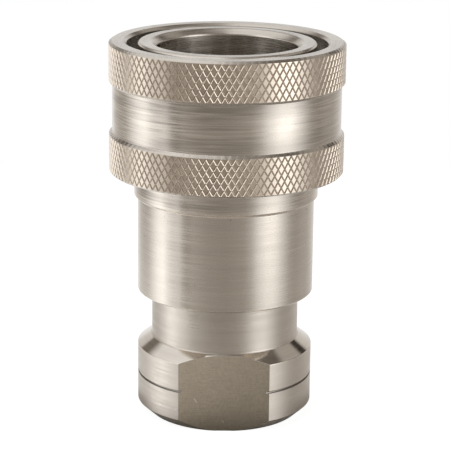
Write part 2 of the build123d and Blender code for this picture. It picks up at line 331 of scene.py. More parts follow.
def placed(name, data):
    """A new object in the scene."""
    made = bpy.data.objects.new(name, data)
    bpy.context.scene.collection.objects.link(made)
    return made


def finished_piece(name, mesh, body, nodes, materials):
    """Makes the mesh a piece that stands for CAD nodes and rides with their body."""
    bmesh.ops.recalc_face_normals(mesh, faces=mesh.faces)
    data = mesh_data(name, mesh)
    data.set_sharp_from_angle(angle=SHARP_ANGLE)
    for material in materials:
        data.materials.append(material)
    piece = placed(name, data)
    even = piece.modifiers.new("even_shading", "WEIGHTED_NORMAL")
    even.keep_sharp = True
    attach(piece, body)
    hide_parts(*nodes)
    return piece


def knurl(mesh, low, high, settings, luck, finish):
    """A band of diamonds between two families of grooves. Gives its lowest and its highest loop."""
    count = settings.pitches
    pitch = 2 * math.pi / count
    row_height = (high - low) / settings.rows / 2
    side_room = settings.groove_half_width / SLEEVE_R
    end_room = settings.groove_half_width * 2 * row_height / (pitch * SLEEVE_R)
    last = 2 * settings.rows

    def top():
        return SLEEVE_R - luck.uniform(0, settings.unevenness)

    def floor():
        bottom = SLEEVE_R - settings.groove_depth
        return bottom + luck.uniform(-settings.unevenness, settings.unevenness)

    crossings = [
        [
            point(mesh, floor(), (n + 0.5 * (row % 2)) * pitch, low + row * row_height)
            for n in range(count)
        ]
        for row in range(last + 1)
    ]
    edges = {0: [], last: []}
    for row in range(last + 1):
        height = low + row * row_height
        for n in range(count):
            left = crossings[row][n]
            right = crossings[row][(n + 1) % count]
            beside = (n + row % 2) % count
            start = (n + 0.5 * (row % 2)) * pitch
            plate_left = point(mesh, top(), start + side_room, height)
            plate_right = point(mesh, top(), start + pitch - side_room, height)
            plate = [plate_left]
            slopes = []
            if row > 0:
                under = crossings[row - 1][beside]
                plate_under = point(mesh, top(), start + pitch / 2, height - row_height + end_room)
                slopes.append((left, under, plate_under, plate_left))
                slopes.append((under, right, plate_right, plate_under))
                plate.append(plate_under)
            plate.append(plate_right)
            if row < last:
                over = crossings[row + 1][beside]
                plate_over = point(mesh, top(), start + pitch / 2, height + row_height - end_room)
                slopes.append((right, over, plate_over, plate_right))
                slopes.append((over, left, plate_left, plate_over))
                plate.append(plate_over)
            for corners in [plate] + slopes:
                face = mesh.faces.new(corners)
                face.material_index = finish
                face.smooth = False
            if row in edges:
                edges[row] += [left, plate_left, plate_right]
    return edges[0], edges[last]


def coil(mesh, radius, wire_r, low, high, turns):
    """A compression spring with a closed turn at each end."""
    rise = high - low - 4 * wire_r
    loops = []
    total = int(turns * COIL_STEPS)
    for step in range(total + 1):
        turned = step / COIL_STEPS
        share = clamped((turned - CLOSED_TURN) / (turns - 2 * CLOSED_TURN))
        settled = min(turned / CLOSED_TURN, 1)
        settled += clamped((turned - turns + CLOSED_TURN) / CLOSED_TURN)
        height = low + wire_r + rise * share + wire_r * settled
        angle = 2 * math.pi * turned
        loop = []
        for around in even_angles(WIRE_SIDES):
            out = radius + wire_r * math.cos(around)
            up = clamped(height + wire_r * math.sin(around), low, high)
            loop.append(point(mesh, out, angle, up))
        loops.append(loop)
    join_all(mesh, loops)
    mesh.faces.new(loops[0])
    mesh.faces.new(loops[-1])


def round_ring(mesh, radius, section_r, height):
    """A ring of round section."""
    section = [
        (radius + section_r * math.cos(a), height + section_r * math.sin(a), 0)
        for a in even_angles(WIRE_SIDES)
    ]
    turn_closed(mesh, section, even_angles(STEPS))


def put(tree, kind, inputs=(), **settings):
    """Adds a node. Inputs maps a socket's name or number to a value or to another node's output."""
    made = tree.nodes.new(kind)
    for name, value in settings.items():
        setattr(made, name, value)
    for socket, value in dict(inputs).items():
        if isinstance(value, bpy.types.NodeSocket):
            tree.links.new(value, made.inputs[socket])
        else:
            made.inputs[socket].default_value = value
    return made


def empty_material(name):
    """A material without nodes, and its tree."""
    material = bpy.data.materials.new(name)
    material.use_nodes = True
    tree = material.node_tree
    tree.nodes.clear()
    return material, tree


def object_place(tree):
    """Each point's place in the object's own frame."""
    return put(tree, "ShaderNodeTexCoord").outputs["Object"]


def calculated(tree, operation, *values):
    """What an operation on numbers gives."""
    return put(tree, "ShaderNodeMath", dict(enumerate(values)), operation=operation).outputs[0]


def section_path(tree):
    """A vector that runs slowly round the axis in x and y, and in z along the turned section."""
    place = object_place(tree)
    parts = put(tree, "ShaderNodeSeparateXYZ", {0: place}).outputs
    level = put(tree, "ShaderNodeVectorMath", {0: place, 1: (1, 1, 0)}, operation="MULTIPLY")
    out = put(tree, "ShaderNodeVectorMath", {0: level.outputs[0]}, operation="LENGTH")
    along = calculated(tree, "MULTIPLY_ADD", out.outputs["Value"], RADIAL_SHARE, parts["Z"])
    joined = put(tree, "ShaderNodeCombineXYZ", {0: parts["X"], 1: parts["Y"], 2: along})
    return joined.outputs[0]


def noise(tree, vector, waves, detail):
    """Noise from 0 to 1, with its waves to the metre along each part of the vector."""
    scaled = put(tree, "ShaderNodeVectorMath", {0: vector, 1: waves}, operation="MULTIPLY")
    inputs = {"Vector": scaled.outputs[0], "Scale": 1.0, "Detail": detail}
    return put(tree, "ShaderNodeTexNoise", inputs).outputs[0]


def spread(tree, value, low, high, within=NOISE_RANGE):
    """Takes a value from the range within to the range from low to high."""
    start, end = within
    inputs = {"Value": value, "From Min": start, "From Max": end, "To Min": low, "To Max": high}
    return put(tree, "ShaderNodeMapRange", inputs).outputs[0]


def mixed(tree, share, first, second, blend="MIX"):
    """Two colours joined by a share, in the way that blend names."""
    inputs = {"Factor": share, "A": first, "B": second}
    made = put(tree, "ShaderNodeMix", inputs, data_type="RGBA", blend_type=blend)
    return made.outputs["Result"]


def tinted(colour, share):
    """A colour made darker or lighter by a share."""
    return tuple(min(part * share, 1.0) for part in colour)


def shade(colour, share):
    """A tinted colour as a socket takes it."""
    return tinted(colour, share) + (1.0,)


def toned(tree, pattern, colour, darker, lighter, within=NOISE_RANGE):
    """A colour between two tones of itself, by a pattern."""
    share = spread(tree, pattern, 0, 1, within)
    return mixed(tree, share, shade(colour, darker), shade(colour, lighter))


def patched(tree, base, pattern, colour, tone, most, within=NOISE_RANGE):
    """The base with another tone over it where the pattern is high, by no more than most."""
    return mixed(tree, spread(tree, pattern, 0, most, within), base, shade(colour, tone))


def surface(tree, colour, roughness, height, bump, others=()):
    """The shader of a finish, with its bump, and with values for its other sockets."""
    relief = put(tree, "ShaderNodeBump", {"Strength": bump, "Distance": RELIEF, "Height": height})
    inputs = {"Base Color": colour, "Roughness": roughness, "Normal": relief.outputs[0]}
    inputs.update(others)
    made = put(tree, "ShaderNodeBsdfPrincipled", inputs)
    put(tree, "ShaderNodeOutputMaterial", {0: made.outputs[0]})


def turned_steel(
    name, colour, roughness, streaks=0.12, bump=0.06, grain=7000, anisotropy=0.75, nicks=False
):
    """Steel from a lathe: fine rings in tone, gloss and height, with or without dark nicks."""
    material, tree = empty_material(name)
    path = section_path(tree)
    place = object_place(tree)
    rings = noise(tree, path, (RING_WAVES, RING_WAVES, grain), detail=3.0)
    bands = noise(tree, path, (BAND_WAVES, BAND_WAVES, grain / RINGS_IN_BAND), detail=2.0)
    cloud = noise(tree, place, TURNED_CLOUD, detail=3.0)
    height = calculated(tree, "ADD", rings, bands)
    tone = toned(tree, height, colour, 1 - streaks, 1 + streaks, SUM_RANGE)
    tone = patched(tree, tone, cloud, colour, tone=0.9, most=0.35)
    if nicks:
        spots = noise(tree, place, NICKS, detail=1.0)
        tone = patched(tree, tone, spots, colour, tone=0.5, most=0.55, within=NICK_RANGE)
    ring_gloss = spread(tree, rings, low=0.65 * roughness, high=1.4 * roughness)
    gloss = calculated(tree, "MULTIPLY", ring_gloss, spread(tree, cloud, low=0.9, high=1.12))
    tangent = put(tree, "ShaderNodeTangent", direction_type="RADIAL", axis="Z")
    others = {
        "Metallic": 1.0,
        "Anisotropic": anisotropy,
        "Anisotropic Rotation": 0.25,
        "Tangent": tangent.outputs[0],
    }
    surface(tree, tone, gloss, height, bump, others)
    return material


def plain_steel(name, colour, roughness, mottle=0.12, bump=0.05, waves=900):
    """Steel without a lathe's rings, with a fine mottle in its tone and gloss."""
    material, tree = empty_material(name)
    place = object_place(tree)
    fine = noise(tree, place, (waves, waves, waves), detail=4.0)
    cloud = noise(tree, place, PLAIN_CLOUD, detail=2.0)
    tone = toned(tree, fine, colour, 1 - mottle, 1 + mottle)
    tone = patched(tree, tone, cloud, colour, tone=0.85, most=0.4)
    gloss = spread(tree, fine, low=0.85 * roughness, high=1.2 * roughness)
    surface(tree, tone, gloss, fine, bump, {"Metallic": 1.0})
    return material


def milled_steel(colours):
    """The wrench flats: matt, with faint cutter lines along them, a few thin bright scratches, and
    painted shade towards their lower right.
    """
    material, tree = empty_material("milled_steel")
    place = object_place(tree)
    colour = colours.milled
    lines = noise(tree, place, CUTTER_LINES, detail=2.0)
    grain = noise(tree, place, FLAT_GRAIN, detail=3.0)
    cloud = noise(tree, place, FLAT_CLOUD, detail=4.0)
    grained = calculated(tree, "ADD", lines, grain)
    tone = toned(tree, grained, colour, darker=0.84, lighter=1.14, within=SUM_RANGE)
    tone = patched(tree, tone, cloud, colour, tone=0.84, most=0.5)
    # Painted shade: the flats' colour darkens towards the lower right
    corner = put(tree, "ShaderNodeVectorMath", {0: place, 1: FLAT_SHADE_SLOPE}, operation="DOT_PRODUCT")
    painted_lightness = spread(tree, corner.outputs["Value"], 0, 1, SHADE_SLOPE_RANGE)
    tone = mixed(tree, 1.0, tone, mixed(tree, painted_lightness, PAINTED_SHADE_TINT, WHITE), blend="MULTIPLY")
    slanted = put(
        tree, "ShaderNodeVectorRotate", {"Vector": place, "Axis": (0, 1, 0), "Angle": SCRATCH_SLANT}
    )
    scratches = noise(tree, slanted.outputs[0], SCRATCHES, detail=0.0)
    tone = patched(tree, tone, scratches, colours.steel, tone=1.3, most=0.8, within=SCRATCH_RANGE)
    gloss = spread(tree, cloud, low=0.4, high=0.5)
    surface(tree, tone, gloss, lines, bump=0.12, others={"Metallic": 1.0})
    return material


def soft_material(name, colour, roughness, mottle, waves, bump):
    """Rubber or ring plastic, with a faint mottle."""
    material, tree = empty_material(name)
    fine = noise(tree, object_place(tree), (waves, waves, waves), detail=4.0)
    tone = toned(tree, fine, colour, 1 - mottle, 1 + mottle)
    gloss = spread(tree, fine, low=0.9 * roughness, high=1.1 * roughness)
    surface(tree, tone, gloss, fine, bump)
    return material


def dress(nodes, material, edge=0.0):
    """Gives CAD nodes a finish, and breaks their edges by that width."""
    for name in nodes:
        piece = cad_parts[name]
        for holder in piece.material_slots:
            holder.material = material
        if edge:
            weld = piece.modifiers.new("weld", "WELD")
            weld.merge_threshold = WELD_REACH
            bevel = piece.modifiers.new("edge_break", "BEVEL")
            bevel.width = edge
            bevel.segments = 2
            bevel.limit_method = "ANGLE"
            bevel.angle_limit = BROKEN_ANGLE
            bevel.use_clamp_overlap = True
            even = piece.modifiers.new("even_shading", "WEIGHTED_NORMAL")
            even.keep_sharp = True


# What the settings for colours, small lengths and gloss share
COLOUR = {"subtype": "COLOR", "size": 3, "min": 0, "max": 1}
LENGTH = {"unit": "LENGTH", "precision": 5}
GLOSS = {"subtype": "FACTOR", "min": 0, "max": 1}


class CouplerKnurl(bpy.types.PropertyGroup):
    """Grip pattern of the sleeve"""

    pitches: bpy.props.IntProperty(
        name="Pitches", description="Grooves of each hand round the sleeve", default=105, min=24
    )
    rows: bpy.props.IntProperty(
        name="Rows", description="Whole diamonds along a band", default=3, min=1
    )
    groove_depth: bpy.props.FloatProperty(
        name="Groove depth", description="Depth of a groove", default=0.17 * MM, **LENGTH
    )
    groove_half_width: bpy.props.FloatProperty(
        name="Groove half width",
        description="Half the width of a groove at its top, measured round the sleeve",
        default=0.235 * MM,
        **LENGTH,
    )
    unevenness: bpy.props.FloatProperty(
        name="Unevenness",
        description="How much the diamonds differ in height",
        default=0.008 * MM,
        **LENGTH,
    )


class CouplerEdges(bpy.types.PropertyGroup):
    """Edges and thread"""

    edge_break: bpy.props.FloatProperty(
        name="Edge break", description="Radius of the turned edges", default=0.14 * MM, **LENGTH
    )
    small_edge: bpy.props.FloatProperty(
        name="Small edge",
        description="Width of the broken edges of flats, rings and valve parts",
        default=0.08 * MM,
        **LENGTH,
    )
    thread_depth: bpy.props.FloatProperty(
        name="Thread depth", description="Depth of the pipe thread", default=1.15 * MM, **LENGTH
    )
    thread_taper: bpy.props.FloatProperty(
        name="Thread taper",
        description="Radius gained from the port's end to its mouth",
        default=0.5 * MM,
        **LENGTH,
    )


class CouplerColours(bpy.types.PropertyGroup):
    """Colours and gloss of the finishes"""

    steel: bpy.props.FloatVectorProperty(
        name="Steel", description="Turned stainless steel", default=(0.66, 0.608, 0.545), **COLOUR
    )
    milled: bpy.props.FloatVectorProperty(
        name="Milled steel", description="Wrench flats", default=(0.72, 0.645, 0.535), **COLOUR
    )
    knurl: bpy.props.FloatVectorProperty(
        name="Knurl", description="Knurled steel", default=(0.67, 0.59, 0.502), **COLOUR
    )
    spring: bpy.props.FloatVectorProperty(
        name="Spring wire",
        description="Drawn spring wire and rings",
        default=(0.5, 0.49, 0.47),
        **COLOUR,
    )
    ball: bpy.props.FloatVectorProperty(
        name="Balls", description="Polished balls", default=(0.72, 0.72, 0.71), **COLOUR
    )
    rubber: bpy.props.FloatVectorProperty(
        name="Rubber", description="Seals", default=(0.022, 0.022, 0.024), **COLOUR
    )
    plastic: bpy.props.FloatVectorProperty(
        name="Ring plastic", description="Backup ring", default=(0.82, 0.81, 0.77), **COLOUR
    )
    sleeve_roughness: bpy.props.FloatProperty(
        name="Sleeve roughness", description="Gloss of the sleeve", default=0.23, **GLOSS
    )
    body_roughness: bpy.props.FloatProperty(
        name="Body roughness", description="Gloss of the body and neck", default=0.24, **GLOSS
    )


class CouplerStudio(bpy.types.PropertyGroup):
    """Camera, floor and light"""

    camera_place: bpy.props.FloatVectorProperty(
        name="Camera",
        description="Where the camera stands",
        default=(-0.00014, -0.43, 0.16307),
        subtype="TRANSLATION",
        unit="LENGTH",
        size=3,
    )
    camera_pitch: bpy.props.FloatProperty(
        name="Pitch",
        description="How far the camera looks down",
        default=math.radians(15.469),
        subtype="ANGLE",
    )
    camera_roll: bpy.props.FloatProperty(
        name="Roll", description="How far the camera leans", default=0.0103, subtype="ANGLE"
    )
    lens: bpy.props.FloatProperty(
        name="Lens", description="Focal length in millimetres", default=154.1, min=1
    )
    floor_radius: bpy.props.FloatProperty(
        name="Floor radius", description="Reach of the pale floor", default=0.25, unit="LENGTH"
    )
    light_level: bpy.props.FloatProperty(
        name="Light level", description="Strength of the studio round the object", default=1.0, min=0
    )


def faced_steel(name, colour):
    """The glossier steel of a face turned square to the axis."""
    return turned_steel(
        name,
        tinted(colour, 0.87),
        FACED_ROUGHNESS,
        streaks=0.08,
        bump=0.03,
        anisotropy=0.3,
        nicks=True,
    )


def materials_of_sleeve(colours):
    """Turned, bored, knurled and faced steel, in the order of the sleeve's finishes. The bored steel
    is painted darker, as painted shade.
    """
    steel = colours.steel
    rough = colours.sleeve_roughness
    return [
        turned_steel("sleeve_turned", tinted(steel, 0.87), rough, streaks=0.32, bump=0.2, grain=2600),
        # Painted shade: the bore's steel is darker than the turned outside
        turned_steel("sleeve_bore_painted_shade", tinted(steel, 0.6), rough * 1.2),
        plain_steel("sleeve_knurled", colours.knurl, rough * 0.9, mottle=0.08),
        faced_steel("sleeve_faced", steel),
    ]


def materials_of_body(colours):
    """Tube, collar, bore and nose, in the order of the body's finishes. The bore's steel is painted
    darker, as painted shade.
    """
    steel = colours.steel
    rough = colours.body_roughness
    tube = tinted(steel, 0.98)
    return [
        turned_steel("body_turned", tube, rough, streaks=0.06, bump=0.05, grain=5000, nicks=True),
        turned_steel("body_collar", tinted(steel, 1.02), rough, streaks=0.3, bump=0.2, grain=2600),
        # Painted shade: the bore's steel is darker than the tube
        turned_steel("body_bore_painted_shade", tinted(steel, 0.8), rough, streaks=0.03, bump=0.01),
        faced_steel("body_faced", steel),
    ]


def materials_of_adapter(colours):
    """Wrench end, port, flats, neck, cone and groove, in the order of the adapter's finishes."""
    steel = colours.steel
    rough = colours.body_roughness
    return [
        turned_steel("wrench_turned", tinted(steel, 0.98), rough * 1.7, streaks=0.06),
        # Painted shade: the port's steel is darker than the outside
        turned_steel("port_painted_shade", tinted(steel, 0.8), rough * 0.9, streaks=0.1, grain=3000),
        milled_steel(colours),
        turned_steel("neck_turned", tinted(steel, 0.95), rough * 1.6, streaks=0.07),
        turned_steel("ledge_turned", steel, LEDGE_ROUGHNESS, streaks=0.08, bump=0.03, anisotropy=0.3),
        # Painted shade: the mark groove's steel is painted dark
        turned_steel("mark_painted_shade", tinted(steel, 0.45), rough),
    ]


class COUPLER_OT_sleeve(bpy.types.Operator):
    """Sleeve with two knurled bands, a turned band between them and the land inside"""

    bl_idname = "coupler.sleeve"
    bl_label = "Knurled sleeve"

    def execute(self, context):
        settings = context.scene.coupler_knurl
        edges = context.scene.coupler_edges
        luck = random.Random(SEED)
        mesh = bmesh.new()
        turned, bore, knurled, faced = 0, 1, 2, 3
        rear_low = SLEEVE_BOTTOM + SLEEVE_EDGE
        rear_high = SLEEVE_BOTTOM + REAR_KNURL
        front_high = SLEEVE_TOP - RIM_CHAMFER_LEN
        front_low = front_high - FRONT_KNURL
        shoulder = STOP_RING_BOTTOM
        rear_under, rear_over = knurl(mesh, rear_low, rear_high, settings, luck, knurled)
        front_under, front_over = knurl(mesh, front_low, front_high, settings, luck, knurled)
        middle = [
            (SLEEVE_R, rear_high, turned),
            (SLEEVE_R - BAND_STEP, rear_high + BAND_STEP_LEN, turned),
            (SLEEVE_R - BAND_STEP, front_low - BAND_STEP_LEN, turned),
            (SLEEVE_R, front_low, turned),
        ]
        inside = [
            (SLEEVE_R, front_high, faced),
            (SLEEVE_R - RIM_CHAMFER, SLEEVE_TOP, faced),
            (FRONT_BORE_R + MOUTH_EDGE, SLEEVE_TOP, faced),
            (FRONT_BORE_R, SLEEVE_TOP - MOUTH_EDGE, bore),
            (FRONT_BORE_R, shoulder, bore),
            (RAMP_R, shoulder, bore),
            (LAND_R, RAMP_BOTTOM, bore),
            (LAND_R, LAND_BOTTOM, bore),
            (SLEEVE_BORE_R, LAND_BOTTOM, bore),
            (SLEEVE_BORE_R, SLEEVE_BOTTOM + INNER_EDGE, bore),
            (SLEEVE_BORE_R + INNER_EDGE, SLEEVE_BOTTOM, turned),
            (SLEEVE_R - SLEEVE_EDGE, SLEEVE_BOTTOM, turned),
            (SLEEVE_R, rear_low, turned),
        ]
        angles = even_angles(3 * settings.pitches)
        radius = edges.edge_break
        turn_section(mesh, eased(middle, radius, False), angles, rear_over, front_under)
        turn_section(mesh, eased(inside, radius, False), angles, front_over, rear_under)
        materials = materials_of_sleeve(context.scene.coupler_colours)
        finished_piece("knurled_sleeve", mesh, "sleeve_body", ["sleeve"], materials)
        return {"FINISHED"}


def ball_pockets(finish):
    """The holes of all the balls, as one mesh to cut out of the body."""
    mesh = bmesh.new()
    outline = ((POCKET_NECK_R, POCKET_START), (POCKET_R, POCKET_TAPER_END), (POCKET_R, SLEEVE_R))
    angles = even_angles(POCKET_STEPS)
    for turn in even_angles(len(BALLS)):
        place = (
            Matrix.Rotation(turn, 4, "Z")
            @ Matrix.Translation((0, 0, (BALL_LOW.z + BALL_HIGH.z) / 2))
            @ Matrix.Rotation(math.pi / 2, 4, "Y")
        )
        loops = [ring(mesh, r, z, angles) for r, z in outline]
        join_all(mesh, loops, finish)
        for end in (loops[0], loops[-1]):
            mesh.faces.new(end).material_index = finish
        bmesh.ops.transform(mesh, matrix=place, verts=[v for loop in loops for v in loop])
    bmesh.ops.recalc_face_normals(mesh, faces=mesh.faces)
    return placed("ball_pockets", mesh_data("ball_pockets", mesh))


def cut_out(piece, cutter):
    """Cuts one object out of another and deletes the cutter. Shading is evened out afterwards."""
    cut = piece.modifiers.new("pockets", "BOOLEAN")
    cut.operation = "DIFFERENCE"
    cut.solver = "EXACT"
    cut.object = cutter
    piece.modifiers.move(len(piece.modifiers) - 1, 0)
    graph = bpy.context.evaluated_depsgraph_get()
    piece.modifiers["even_shading"].show_viewport = False
    graph.update()
    result = bpy.data.meshes.new_from_object(piece.evaluated_get(graph))
    piece.modifiers.remove(cut)
    piece.modifiers["even_shading"].show_viewport = True
    piece.data = result
    piece.data.set_sharp_from_angle(angle=SHARP_ANGLE)
    bpy.data.objects.remove(cutter)


class COUPLER_OT_body(bpy.types.Operator):
    """Turned body with its collar, nose, bore and ball pockets"""

    bl_idname = "coupler.body"
    bl_label = "Turned body"

    def execute(self, context):
        tube, collar, bore, faced = 0, 1, 2, 3
        outline = [
            (JOINT_BORE_R + JOINT_CHAMFER, BODY_BOTTOM, tube),
            (TUBE_R - TUBE_EDGE, BODY_BOTTOM, tube),
            (TUBE_R, BODY_BOTTOM + TUBE_EDGE, tube),
            (TUBE_R, COLLAR_BOTTOM - COLLAR_TAPER, collar),
            (COLLAR_R, COLLAR_BOTTOM, collar),
            (COLLAR_R, WASHER_BOTTOM, collar),
            (TUBE_R, WASHER_BOTTOM, tube),
            *groove(TUBE_R, RING_GROOVE_R, STOP_RING_BOTTOM, RING_GROOVE_TOP, tube),
            (TUBE_R, NOSE_TOP - NOSE_EDGE, tube),
            (TUBE_R - NOSE_EDGE, NOSE_TOP, faced, NOSE_ROUNDING),
            (GUIDE_BORE_R + NOSE_CHAMFER, NOSE_TOP, faced, NOSE_ROUNDING),
            (GUIDE_BORE_R, NOSE_TOP - NOSE_CHAMFER, bore, NOSE_ROUNDING / 2),
            (GUIDE_BORE_R, GUIDE_BORE_BOTTOM, bore),
            (BORE_R, GUIDE_BORE_BOTTOM, bore),
            *groove(BORE_R, SEAL_GROOVE_R, SEAL_GROOVE_TOP, SEAL_GROOVE_BOTTOM, bore),
            (BORE_R, SOCKET_FLOOR, bore),
            (SEAT_R, SOCKET_FLOOR, bore),
            (SEAT_R, SEAT_TOP, bore),
            (SEAT_R + SEAT_TOP - SEAT_BOTTOM, SEAT_BOTTOM, bore),
            (CHAMBER_R, SEAT_BOTTOM, bore),
            (CHAMBER_R, ADAPTER_TOP, bore),
            (JOINT_BORE_R, ADAPTER_TOP, bore),
            (JOINT_BORE_R, BODY_BOTTOM + JOINT_CHAMFER, bore),
        ]
        mesh = bmesh.new()
        turn_closed(mesh, eased(outline, context.scene.coupler_edges.edge_break), even_angles(STEPS))
        materials = materials_of_body(context.scene.coupler_colours)
        body = finished_piece(
            "turned_body", mesh, "coupler_body", ["socket_body"], materials
        )
        cut_out(body, ball_pockets(bore))
        return {"FINISHED"}


def threaded_port(mesh, mouth_loop, end_loop, edges, angles, finish):
    """The pipe thread between the port's end and its mouth, both of which stand already."""
    length = PORT_END - PORT_MOUTH
    rows = int(length / THREAD_PITCH * THREAD_ROWS)
    loops = [end_loop]
    for row in range(1, rows):
        share = row / rows
        height = PORT_END - length * share
        fade = min(1.0, share * THREAD_RUN_OUT, (1 - share) * THREAD_LEAD_IN)
        loop = []
        for angle in angles:
            phase = (height / THREAD_PITCH - angle / (2 * math.pi)) % 1.0
            flank = clamped(0.5 + THREAD_FLANK * (0.5 - 2 * abs(phase - 0.5)))
            radius = PORT_R + fade * (edges.thread_taper * share + edges.thread_depth * flank)
            loop.append(point(mesh, radius, angle, height))
        loops.append(loop)
    loops.append(mouth_loop)
    join_all(mesh, loops, finish)


def mill_flats(mesh, finish, edge):
    """Cuts the two wrench flats and breaks their edges."""
    for side in (1, -1):
        cut = bmesh.ops.bisect_plane(
            mesh,
            geom=mesh.verts[:] + mesh.edges[:] + mesh.faces[:],
            plane_co=(0, side * FLAT_REACH, 0),
            plane_no=(0, side, 0),
            clear_outer=True,
        )
        rim = [item for item in cut["geom_cut"] if isinstance(item, bmesh.types.BMEdge)]
        filled = bmesh.ops.contextual_create(mesh, geom=rim)
        for face in filled["faces"]:
            face.material_index = finish
            face.smooth = True
        bmesh.ops.bevel(
            mesh,
            geom=rim,
            offset=edge,
            offset_type="OFFSET",
            segments=2,
            profile=0.5,
            affect="EDGES",
            clamp_overlap=False,
            material=0,
        )
    # A broken edge that meets the rear face at a slant stays on it
    for vertex in mesh.verts:
        vertex.co.z = max(vertex.co.z, 0)


class COUPLER_OT_adapter(bpy.types.Operator):
    """Adapter with its pipe thread, wrench flats and neck"""

    bl_idname = "coupler.adapter"
    bl_label = "Threaded adapter"

    def execute(self, context):
        edges = context.scene.coupler_edges
        wrench, bore, flat, neck, ledge, mark = 0, 1, 2, 3, 4, 5
        half = MARK_WIDTH / 2
        outline = [
            (PORT_R + edges.thread_taper, PORT_MOUTH, bore),
            (PORT_R + PORT_MOUTH, 0, wrench),
            (WRENCH_R - REAR_CHAMFER, 0, wrench),
            (WRENCH_R, REAR_CHAMFER_LEN, wrench),
            (WRENCH_R, MARK_Z - half, mark),
            (WRENCH_R - MARK_DEPTH, MARK_Z - half, mark),
            (WRENCH_R - MARK_DEPTH, MARK_Z + half, mark),
            (WRENCH_R, MARK_Z + half, wrench),
            (WRENCH_R, WRENCH_TOP, ledge),
            (NECK_R, NECK_BOTTOM, neck, NECK_FILLET),
            *groove(NECK_R, JOINT_GROOVE_R, JOINT_GROOVE_BOTTOM, JOINT_GROOVE_TOP, neck),
            (NECK_R, ADAPTER_TOP - JOINT_CHAMFER, neck),
            (NECK_R - JOINT_CHAMFER, ADAPTER_TOP, neck),
            (POCKET_WALL_R, ADAPTER_TOP, bore),
            *groove(POCKET_WALL_R, GUIDE_GROOVE_R, GUIDE_GROOVE_TOP, GUIDE_GROOVE_BOTTOM, bore),
            (POCKET_WALL_R, GUIDE_STEP, bore),
            (PASSAGE_R, GUIDE_STEP, bore),
            (PASSAGE_R, PORT_END, bore),
            (PORT_R, PORT_END, bore),
        ]
        mesh = bmesh.new()
        angles = even_angles(STEPS)
        loops = turn_section(mesh, eased(outline, edges.edge_break, False), angles)
        threaded_port(mesh, loops[0], loops[-1], edges, angles, bore)
        mill_flats(mesh, flat, edges.small_edge)
        materials = materials_of_adapter(context.scene.coupler_colours)
        finished_piece(
            "threaded_adapter", mesh, "coupler_body", ["adapter"], materials
        )
        return {"FINISHED"}


class COUPLER_OT_springs(bpy.types.Operator):
    """Spring of the sleeve and spring of the valve"""

    bl_idname = "coupler.springs"
    bl_label = "Coil springs"

    def execute(self, context):
        colour = context.scene.coupler_colours.spring
        wire = plain_steel("spring_wire", colour, roughness=0.28, waves=1400)
        springs = (
            ("sleeve_coil", "sleeve_spring", "sleeve_spring_body", "sleeve_slide", SLEEVE_COIL),
            ("valve_coil", "valve_spring", "coupler_body", "poppet_slide", VALVE_COIL),
        )
        for name, node, body, joint, (wire_r, turns) in springs:
            low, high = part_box(node)
            mesh = bmesh.new()
            coil(mesh, high.x - wire_r, wire_r, low.z, high.z, turns)
            spring = finished_piece(name, mesh, body, [node], [wire])
            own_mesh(spring)
        return {"FINISHED"}


class COUPLER_OT_seals(bpy.types.Operator):
    """Round seals, the seal of the valve and the backup ring"""

    bl_idname = "coupler.seals"
    bl_label = "Seals"

    def execute(self, context):
        colours = context.scene.coupler_colours
        rubber = soft_material(
            "nitrile_rubber", colours.rubber, roughness=0.42, mottle=0.25, waves=1500, bump=0.08
        )
        plastic = soft_material(
            "ring_plastic", colours.plastic, roughness=0.5, mottle=0.04, waves=900, bump=0.05
        )
        for name, node in (("nipple_o_ring", "nipple_seal"), ("adapter_o_ring", "adapter_seal")):
            low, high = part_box(node)
            section_r = (high.z - low.z) / 2
            mesh = bmesh.new()
            round_ring(mesh, high.x - section_r, section_r, (low.z + high.z) / 2)
            finished_piece(name, mesh, "coupler_body", [node], [rubber])
        dress(["poppet_seal"], rubber)
        dress(["backup_ring"], plastic, context.scene.coupler_edges.small_edge)
        return {"FINISHED"}


class COUPLER_OT_valve(bpy.types.Operator):
    """Finish of the valve, its guide, the rings, the washer and the balls"""

    bl_idname = "coupler.valve"
    bl_label = "Valve, rings and balls"

    def execute(self, context):
        colours = context.scene.coupler_colours
        steel = colours.steel
        edge = context.scene.coupler_edges.small_edge
        valve = turned_steel("valve_turned", steel, roughness=0.26, streaks=0.1)
        guide = plain_steel("guide_machined", tinted(steel, 0.9), roughness=0.34)
        rings = plain_steel("ring_spring_steel", tinted(colours.spring, 0.8), roughness=0.36)
        polished = plain_steel("ball_polished", colours.ball, roughness=0.08, mottle=0.03, bump=0.0)
        dress(["poppet"], valve, edge)
        dress(["valve_guide"], guide, edge)
        dress(["sleeve_stop_ring", "guide_retaining_ring", "spring_seat_washer"], rings, edge)
        dress(BALLS, polished)
        return {"FINISHED"}


